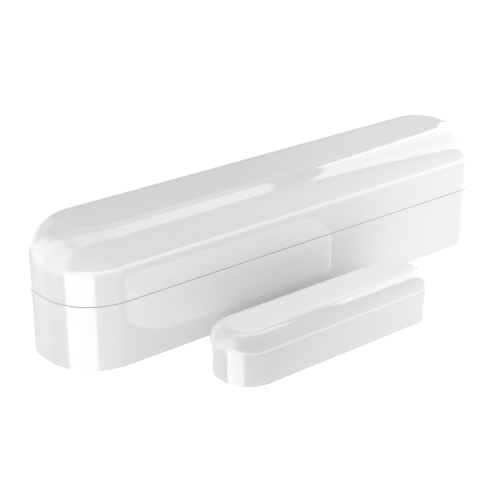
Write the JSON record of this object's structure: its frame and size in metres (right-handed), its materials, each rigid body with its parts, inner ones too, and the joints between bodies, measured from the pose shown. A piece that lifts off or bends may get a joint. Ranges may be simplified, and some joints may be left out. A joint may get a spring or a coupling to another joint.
{
  "type": "door contact sensor",
  "caption": "Slim white wireless door contact sensor with rounded ends and a parting line at half height, and a smaller matching magnet unit beside it.",
  "frame": {"origin": "centre of the sensor unit's adhesive face, in the mounting plane", "axes": "+X along both units, +Y from the magnet unit towards the sensor unit, +Z away from the mounting plane"},
  "size_m": [0.076, 0.032, 0.0183],
  "materials": {
    "housing_white": "high gloss moulded ABS",
    "inner_white": "moulded, fine matt texture",
    "foam_tape": "closed cell foam with adhesive film",
    "board_green": "solder mask over glass fibre laminate",
    "steel_zinc": "zinc plated",
    "tinned_steel": "tin plated sheet and wire",
    "steel_nickel": "nickel plated",
    "chip_black": "moulded epoxy",
    "reed_glass": "clear drawn tube",
    "lamp_clear": "clear epoxy",
    "ceramic_tan": "fired ceramic with tinned ends",
    "aluminium_can": "bare drawn can",
    "terminal_green": "moulded polyamide",
    "clamp_brass": "plated brass cage",
    "aerial_brass": "gold plated spring wire",
    "cell_wrap": "shrink sleeve",
    "plunger_grey": "moulded acetal"
  },
  "bodies": {
    "sensor_base": {"base_housing": "housing_white", "sensor_pad": "foam_tape", "circuit_board": "board_green", "board_screws": "steel_zinc", "radio_shield": "tinned_steel", "microcontroller": "chip_black", "crystal": "tinned_steel", "reed_glass": "reed_glass", "reed_leads": "tinned_steel", "status_led": "lamp_clear", "chip_capacitors": "ceramic_tan", "chip_resistors": "chip_black", "storage_capacitor": "aluminium_can", "terminal_block": "terminal_green", "terminal_clamps": "clamp_brass", "terminal_screws": "steel_zinc", "antenna_coil": "aerial_brass", "cell_spring": "steel_nickel", "negative_contact": "steel_nickel", "positive_contact": "steel_nickel", "tamper_switch": "chip_black", "tamper_spring": "steel_nickel", "learn_switch": "chip_black"},
    "cover": {"top_cover": "housing_white"},
    "cell": {"cell_can": "steel_nickel", "cell_sleeve": "cell_wrap", "cell_insulator": "inner_white"},
    "plunger": {"tamper_plunger": "plunger_grey"},
    "button": {"learn_button": "inner_white"},
    "reed": {"reed_blade": "tinned_steel"},
    "magnet_unit": {"magnet_base": "inner_white", "bar_magnet": "steel_nickel", "magnet_pad": "foam_tape"},
    "magnet_lid": {"magnet_cap": "housing_white"}
  },
  "joints": [
    {"name": "leaf_opening", "type": "slide", "parent": "sensor_base", "child": "magnet_unit", "axis": [0, -1, 0], "range_m": [0, 0.06]},
    {"name": "cover_lift", "type": "slide", "parent": "sensor_base", "child": "cover", "axis": [0, 0, 1], "range_m": [0, 0.036]},
    {"name": "cell_lift", "type": "slide", "parent": "sensor_base", "child": "cell", "axis": [0, 0, 1], "range_m": [0, 0.0162]},
    {"name": "magnet_cap_lift", "type": "slide", "parent": "magnet_unit", "child": "magnet_lid", "axis": [0, 0, 1], "range_m": [0, 0.012]},
    {"name": "tamper_travel", "type": "slide", "parent": "sensor_base", "child": "plunger", "axis": [0, 0, -1], "range_m": [0, 0.0009], "deforming": ["tamper_spring"]},
    {"name": "learn_press", "type": "slide", "parent": "sensor_base", "child": "button", "axis": [0, 0, -1], "range_m": [0, 0.00025]},
    {"name": "reed_flex", "type": "hinge", "parent": "sensor_base", "child": "reed", "pos_m": [-0.00405, -0.0052, 0.00815], "axis": [0, -1, 0], "range_deg": [0, 1]}
  ],
  "couplings": [
    {"joint": "cell_lift", "follows": "cover_lift", "ratio": 0.45},
    {"joint": "reed_flex", "follows": "leaf_opening", "rad_per_m": 0.2908}
  ]
}
